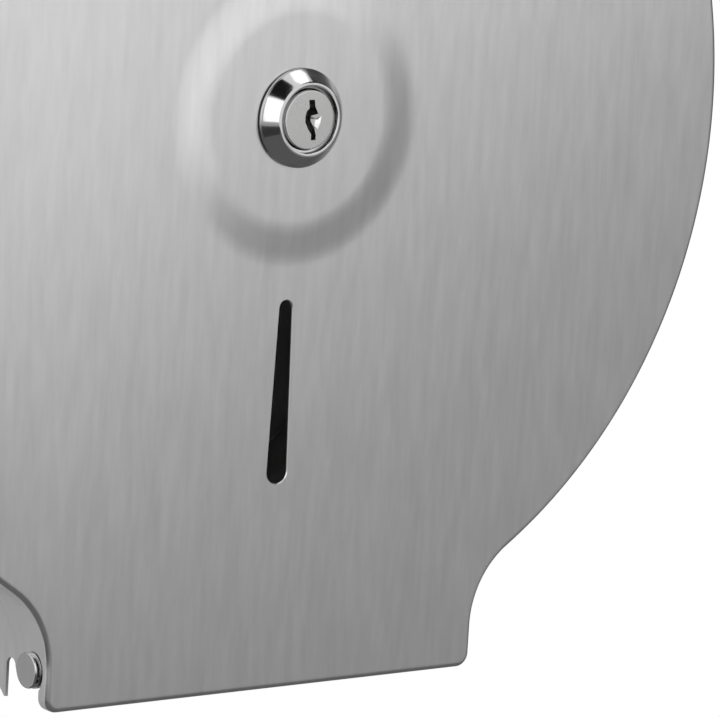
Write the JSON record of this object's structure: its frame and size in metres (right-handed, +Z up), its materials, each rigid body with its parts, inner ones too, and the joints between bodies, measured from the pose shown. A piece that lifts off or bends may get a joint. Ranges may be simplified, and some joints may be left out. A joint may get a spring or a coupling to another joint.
{
  "type": "jumbo roll toilet paper dispenser",
  "caption": "Round wall-hung steel casing for a jumbo roll of toilet paper, with a drop-front cover, a cam lock, a turning roll hub and saw-toothed tear edges.",
  "frame": {"origin": "on the wall-side face of the back plate, on the axis of the lock", "axes": "+X to the right of someone facing the dispenser, +Y into the wall, +Z up"},
  "size_m": [0.27, 0.1256, 0.2777],
  "materials": {
    "brushed_steel": "satin stainless steel, brushed upright",
    "plain_steel": "plain mill-finished stainless steel",
    "polished_steel": "polished stainless steel",
    "bright_chrome": "bright chrome plate",
    "zinc_plate": "bright zinc plate on steel",
    "grey_plastic": "moulded grey plastic"
  },
  "bodies": {
    "casing": {"back_plate": "plain_steel", "side_band": "brushed_steel", "hinge_rivet_left": "polished_steel", "hinge_rivet_right": "polished_steel", "hinge_washer_left": "zinc_plate", "hinge_washer_right": "zinc_plate", "spindle_base": "plain_steel", "spindle_screw_1": "zinc_plate", "spindle_screw_2": "zinc_plate", "spindle_screw_3": "zinc_plate", "spindle_screw_4": "zinc_plate", "spindle_tube": "plain_steel", "catch_plate": "plain_steel", "hub_spacer": "grey_plastic"},
    "cover": {"front_cover": "brushed_steel", "hinge_bracket_left": "plain_steel", "hinge_bracket_right": "plain_steel", "lock_body": "bright_chrome", "lock_washer": "zinc_plate", "lock_nut": "zinc_plate"},
    "lock_core": {"lock_plug": "bright_chrome", "lock_cam": "zinc_plate", "cam_bolt": "zinc_plate"},
    "hub": {"roll_hub": "grey_plastic"}
  },
  "joints": [
    {"name": "cover_hinge", "type": "hinge", "parent": "casing", "child": "cover", "pos_m": [0, -0.1116, -0.13362], "axis": [1, 0, 0], "range_deg": [0, 90]},
    {"name": "lock_turn", "type": "hinge", "parent": "cover", "child": "lock_core", "pos_m": [0, -0.12, 0], "axis": [0, 1, 0], "range_deg": [0, 90]},
    {"name": "hub_spin", "type": "hinge", "parent": "casing", "child": "hub", "pos_m": [0, -0.06, 0], "axis": [0, 1, 0], "continuous": true}
  ]
}
